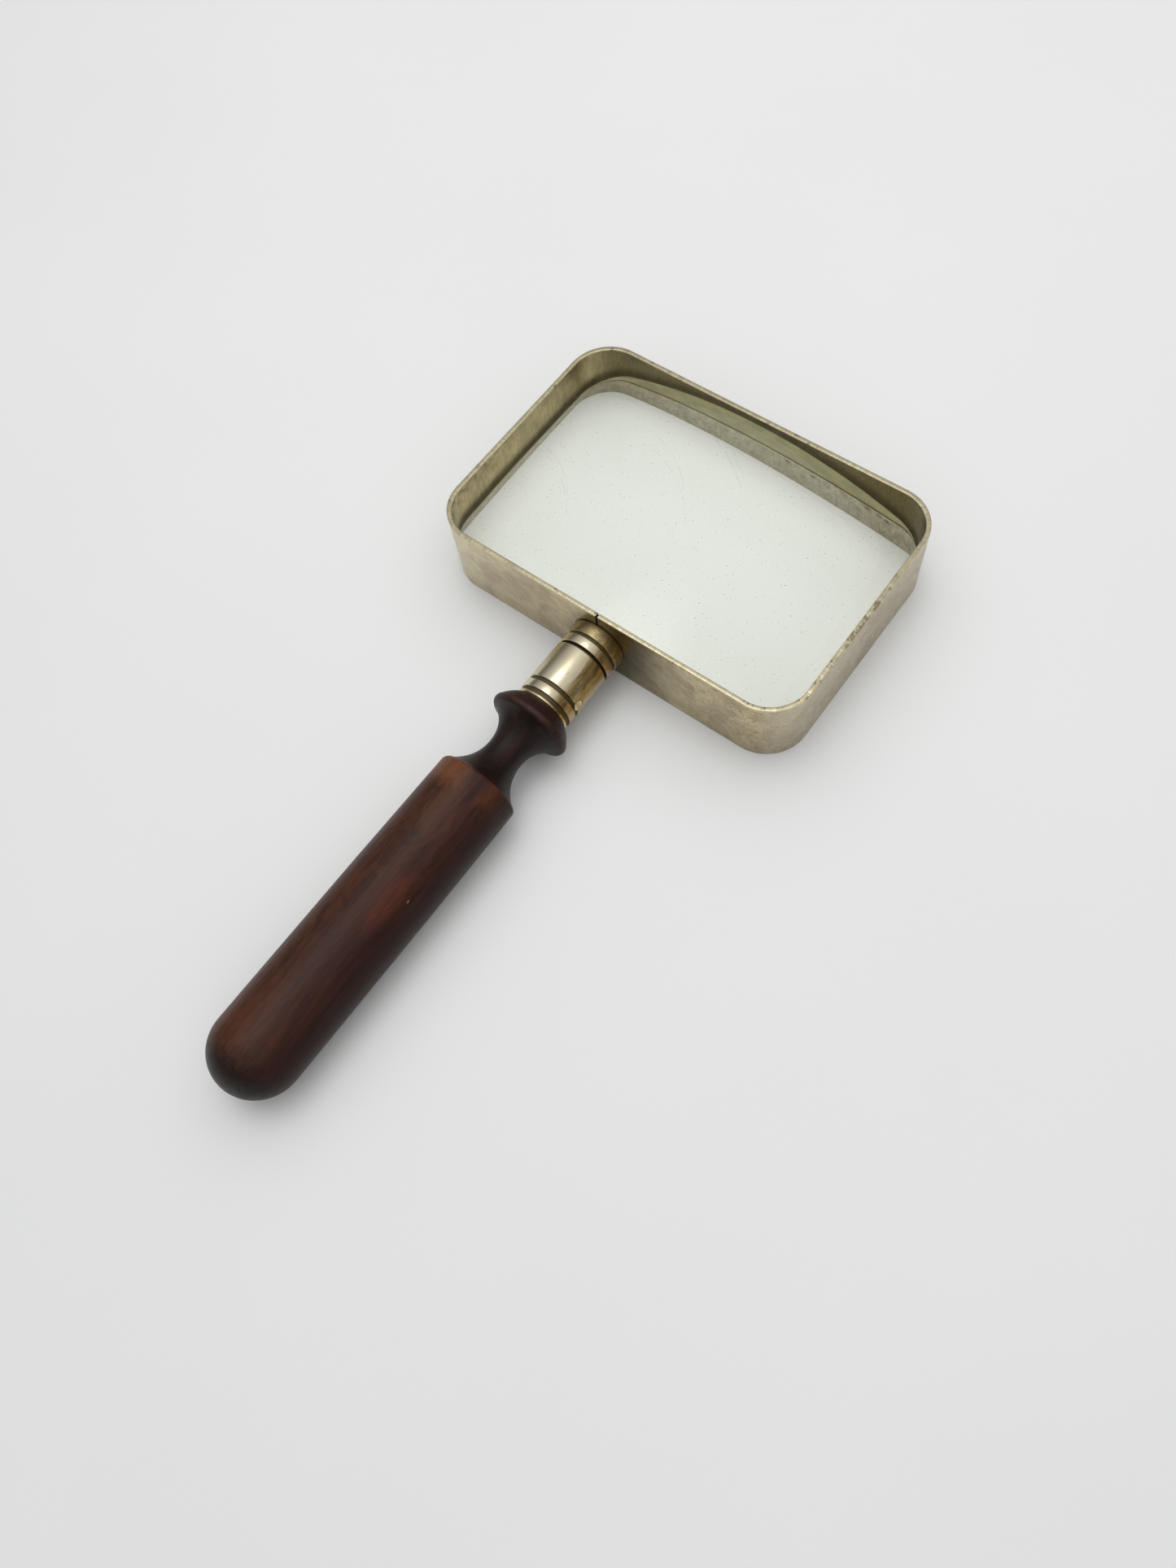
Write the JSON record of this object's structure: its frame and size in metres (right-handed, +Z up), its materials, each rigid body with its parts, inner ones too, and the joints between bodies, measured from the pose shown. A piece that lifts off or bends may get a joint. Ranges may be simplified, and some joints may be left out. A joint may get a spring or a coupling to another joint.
{
  "type": "rectangular magnifying glass",
  "caption": "Hand magnifying glass: a deep rectangular metal band holds a domed lens, on a turned dark wood handle with a metal ferrule.",
  "frame": {"origin": "middle of the whole glass's footprint, on the surface that it lies on", "axes": "+X along the long side of the lens, -Y from the lens out along the handle, +Z up out of the lens's domed side"},
  "size_m": [0.102, 0.1986, 0.021],
  "materials": {
    "nickel_band": "aged, brushed, lightly stained nickel-plated brass",
    "lens_glass": "clear polished glass",
    "stud_brass": "machined brass",
    "ferrule_nickel": "satin nickel worn through to brass",
    "pin_brass": "brass, filed flush",
    "screw_steel": "plain steel",
    "dark_wood": "ebonised dark reddish-brown wood, satin and worn"
  },
  "bodies": {
    "frame": {"lens_band": "nickel_band", "lens": "lens_glass", "left_half_stud": "stud_brass", "right_half_stud": "stud_brass"},
    "collar": {"clamp_collar": "ferrule_nickel"},
    "handle": {"ferrule": "ferrule_nickel", "ferrule_pin": "pin_brass", "handle_screw": "screw_steel", "wood_handle": "dark_wood"}
  },
  "joints": [
    {"name": "handle_travel", "type": "slide", "parent": "frame", "child": "collar", "axis": [0, -1, 0], "range_m": [0, 0.012]},
    {"name": "handle_unscrew", "type": "hinge", "parent": "collar", "child": "handle", "pos_m": [0, 0.0303, 0.0105], "axis": [0, -1, 0], "range_deg": [0, 4320.01]}
  ],
  "couplings": [
    {"joint": "handle_unscrew", "follows": "handle_travel", "rad_per_m": 6283.2}
  ]
}
